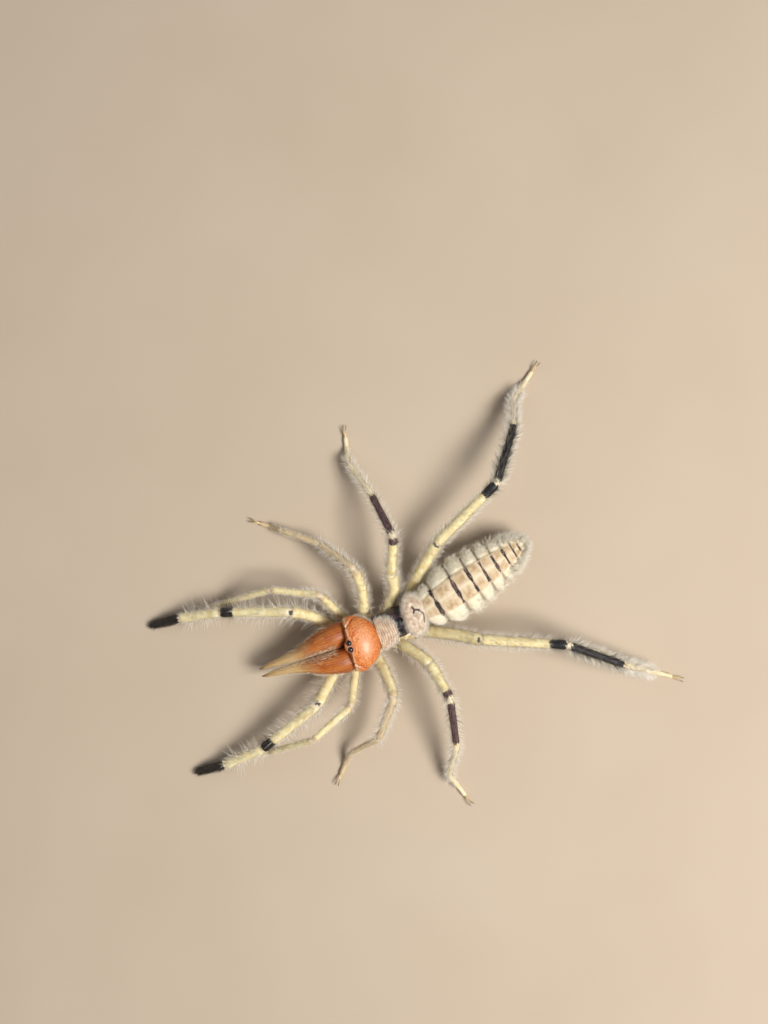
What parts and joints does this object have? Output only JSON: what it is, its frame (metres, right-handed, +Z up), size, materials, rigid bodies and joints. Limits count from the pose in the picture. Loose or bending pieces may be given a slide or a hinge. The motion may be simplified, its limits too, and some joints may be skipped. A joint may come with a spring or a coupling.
{
  "type": "camel spider",
  "caption": "Camel spider standing with its palps held forward: domed orange head shield, long jaws, banded abdomen and slender bristly legs.",
  "frame": {"origin": "on the floor, under the middle of the box that holds the whole animal from foot to foot", "axes": "+Z up, the head points to -Y, the animal's left side is at +X"},
  "size_m": [0.04, 0.0486, 0.0073],
  "materials": {
    "shield_orange": "satin, finely grained",
    "jaw_amber": "satin, streaked amber and brown",
    "eye_black": "glossy black",
    "plate_cream": "matt cream shell with fine white hair",
    "trunk_dark": "soft skin, glossy blackish above between the plates, with pale straw hips below",
    "abdomen_velvet": "velvety cream with dark cross bars",
    "limb_straw": "pale straw yellow with white hair",
    "limb_dark": "blackish stripe in a pale limb"
  },
  "bodies": {
    "root": {"head_shield": "shield_orange", "eye_left": "eye_black", "eye_right": "eye_black", "jaw_left": "jaw_amber", "jaw_right": "jaw_amber", "jaw_finger_left": "jaw_amber", "jaw_finger_right": "jaw_amber", "neck_plate": "plate_cream", "rear_plate": "plate_cream", "trunk": "trunk_dark", "abdomen_segment_1": "abdomen_velvet", "abdomen_segment_2": "abdomen_velvet", "abdomen_segment_3": "abdomen_velvet", "abdomen_segment_4": "abdomen_velvet", "abdomen_segment_5": "abdomen_velvet", "abdomen_tail": "abdomen_velvet", "palp_left_femur": "limb_straw", "palp_left_tibia": "limb_straw", "palp_left_metatarsus": "limb_straw", "palp_left_tarsus": "limb_dark", "palp_right_femur": "limb_straw", "palp_right_tibia": "limb_straw", "palp_right_metatarsus": "limb_straw", "palp_right_tarsus": "limb_dark", "leg_1_left_femur": "limb_straw", "leg_1_left_tibia": "limb_straw", "leg_1_left_metatarsus": "limb_straw", "leg_1_left_tarsus": "limb_straw", "leg_1_right_femur": "limb_straw", "leg_1_right_tibia": "limb_straw", "leg_1_right_metatarsus": "limb_straw", "leg_1_right_tarsus": "limb_straw", "leg_2_left_femur": "limb_straw", "leg_2_left_tibia": "limb_straw", "leg_2_left_metatarsus": "limb_straw", "leg_2_left_tarsus": "limb_straw", "leg_2_right_femur": "limb_straw", "leg_2_right_tibia": "limb_straw", "leg_2_right_metatarsus": "limb_straw", "leg_2_right_tarsus": "limb_straw", "leg_3_left_trochanter": "limb_straw", "leg_3_left_femur": "limb_straw", "leg_3_left_tibia": "limb_dark", "leg_3_left_metatarsus": "limb_straw", "leg_3_left_tarsus": "limb_straw", "leg_3_right_trochanter": "limb_straw", "leg_3_right_femur": "limb_straw", "leg_3_right_tibia": "limb_dark", "leg_3_right_metatarsus": "limb_straw", "leg_3_right_tarsus": "limb_straw", "leg_4_left_trochanter": "limb_straw", "leg_4_left_femur": "limb_straw", "leg_4_left_tibia": "limb_dark", "leg_4_left_metatarsus": "limb_straw", "leg_4_left_tarsus": "limb_straw", "leg_4_right_trochanter": "limb_straw", "leg_4_right_femur": "limb_straw", "leg_4_right_tibia": "limb_dark", "leg_4_right_metatarsus": "limb_straw", "leg_4_right_tarsus": "limb_straw"}
  },
  "joints": []
}
